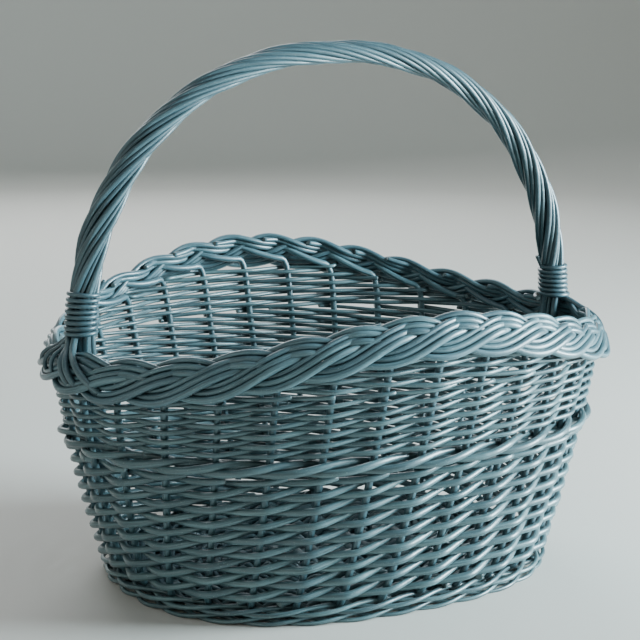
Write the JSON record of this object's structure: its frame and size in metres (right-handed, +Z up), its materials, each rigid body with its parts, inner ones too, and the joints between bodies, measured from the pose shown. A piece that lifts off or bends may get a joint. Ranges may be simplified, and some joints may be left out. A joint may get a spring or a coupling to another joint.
{
  "type": "easter basket",
  "caption": "Oval woven willow basket with raised long sides, a thick plaited border and a fixed roped bow handle.",
  "frame": {"origin": "middle of the rim's oval in plan, on the plane the basket stands on", "axes": "+Z up, +X along the length towards one foot of the handle, -Y the front long side"},
  "size_m": [0.4064, 0.3024, 0.3545],
  "materials": {
    "painted_willow_wall": "satin",
    "painted_willow_stakes": "satin",
    "painted_willow_base": "satin",
    "painted_willow_handle": "satin"
  },
  "bodies": {
    "root": {"base_long_sticks": "painted_willow_base", "base_cross_sticks": "painted_willow_base", "base_weavers": "painted_willow_base", "back_stakes": "painted_willow_stakes", "front_stakes": "painted_willow_stakes", "upsett_bottom_round": "painted_willow_wall", "upsett_top_round": "painted_willow_wall", "lower_weavers": "painted_willow_wall", "front_middle_wale": "painted_willow_wall", "back_middle_wale": "painted_willow_wall", "upper_weavers": "painted_willow_wall", "front_packing": "painted_willow_wall", "back_packing": "painted_willow_wall", "handle_bow": "painted_willow_handle", "left_roping_rods": "painted_willow_handle", "right_roping_rods": "painted_willow_handle", "left_handle_binding": "painted_willow_handle", "right_handle_binding": "painted_willow_handle"}
  },
  "joints": []
}
